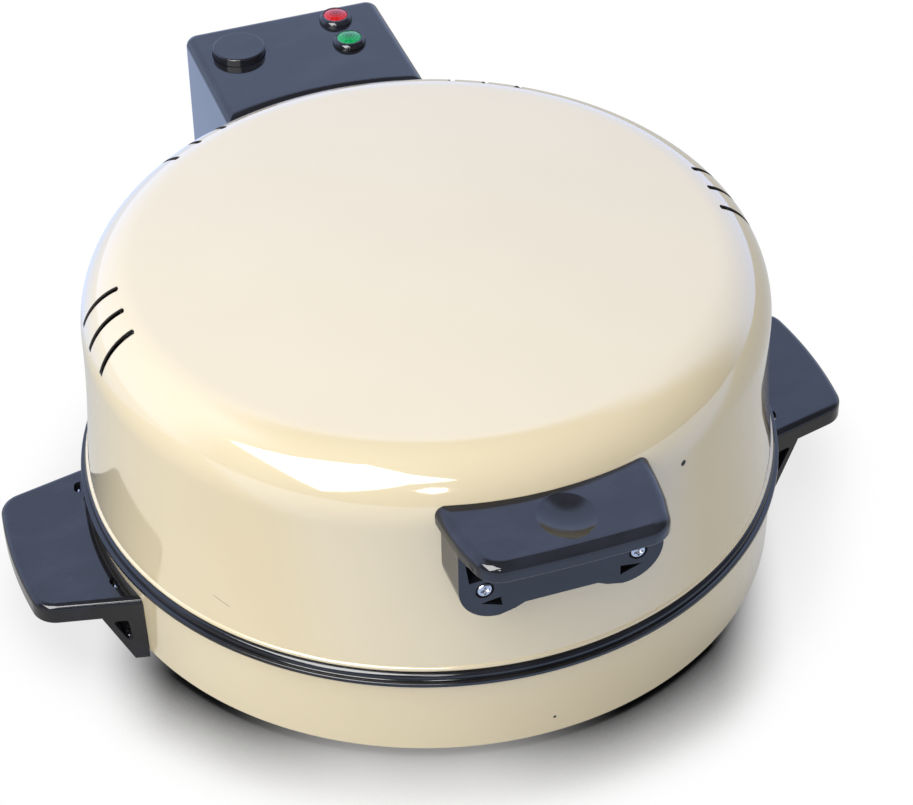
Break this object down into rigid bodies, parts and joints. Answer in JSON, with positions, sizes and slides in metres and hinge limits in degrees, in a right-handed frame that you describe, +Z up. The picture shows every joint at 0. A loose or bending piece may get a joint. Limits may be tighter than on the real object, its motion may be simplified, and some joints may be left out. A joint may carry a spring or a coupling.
{
  "type": "electric flatbread maker",
  "caption": "Round countertop flatbread cooker with a hinged domed lid, baking plate, side handles, front handle and rear control box.",
  "frame": {"origin": "centre of the bounding box at the level of the feet's undersides", "axes": "+Z up, front handle towards -Y, rear box and hinge towards +Y, +X to the right seen from the front"},
  "size_m": [0.4368, 0.4522, 0.174],
  "materials": {
    "cream_enamel": "glossy baked enamel",
    "black_bakelite": "glossy moulded bakelite",
    "matt_black": "matt moulded plastic",
    "dark_coating": "dark non-stick coating",
    "heater_steel": "heat-darkened steel tube",
    "plain_steel": "plain steel strip",
    "bright_sheet": "bright rolled sheet",
    "nickel_screw": "nickel-plated",
    "ceramic": "matt steatite",
    "white_plastic": "matt moulded plastic",
    "wire_sleeve": "silicone and glass-fibre sleeve",
    "foot_rubber": "matt rubber",
    "red_lens": "translucent red",
    "green_lens": "translucent green",
    "bulb_glass": "clear glass"
  },
  "bodies": {
    "base": {"base_pan": "cream_enamel", "rim_ring": "black_bakelite", "baking_plate": "dark_coating", "lower_element": "heater_steel", "lower_hangers": "plain_steel", "lower_insulators": "ceramic", "lower_reflector": "bright_sheet", "reflector_screws": "nickel_screw", "thermostat": "ceramic", "thermostat_bracket": "plain_steel", "thermal_fuse": "plain_steel", "terminal_block": "white_plastic", "base_leads": "wire_sleeve", "feet": "foot_rubber", "foot_screws": "nickel_screw", "side_handle_right": "black_bakelite", "side_handle_left": "black_bakelite", "side_handle_screws": "nickel_screw", "side_handle_nuts": "nickel_screw", "hinge_bracket": "black_bakelite", "bracket_screws": "nickel_screw", "bracket_nuts": "nickel_screw", "hinge_pins": "plain_steel", "pin_clips": "plain_steel", "cord_gland": "matt_black", "gland_nut": "matt_black", "harness_base": "wire_sleeve"},
    "lid": {"lid_shell": "cream_enamel", "lid_liner": "bright_sheet", "liner_posts": "plain_steel", "liner_screws": "nickel_screw", "upper_element": "heater_steel", "upper_hangers": "plain_steel", "upper_insulators": "ceramic", "front_handle": "black_bakelite", "front_handle_screws": "nickel_screw", "front_handle_nuts": "nickel_screw", "rear_box": "black_bakelite", "rear_box_cover": "matt_black", "rear_box_screws": "nickel_screw", "rear_box_bolts": "nickel_screw", "rear_box_nuts": "nickel_screw", "red_bezel": "matt_black", "green_bezel": "matt_black", "red_lens": "red_lens", "green_lens": "green_lens", "indicator_bulbs": "bulb_glass", "power_switch": "white_plastic", "lid_terminal_block": "white_plastic", "lid_leads": "wire_sleeve", "harness_lid": "wire_sleeve"},
    "button": {"power_button": "black_bakelite"}
  },
  "joints": [
    {"name": "lid_hinge", "type": "hinge", "parent": "base", "child": "lid", "pos_m": [0, 0.20315, 0.045], "axis": [-1, 0, 0], "range_deg": [0, 100]},
    {"name": "button_press", "type": "slide", "parent": "lid", "child": "button", "axis": [0, 0, -1], "range_m": [0, 0.0025], "stiffness_N_per_m": 400, "springref_m": -0.001}
  ]
}
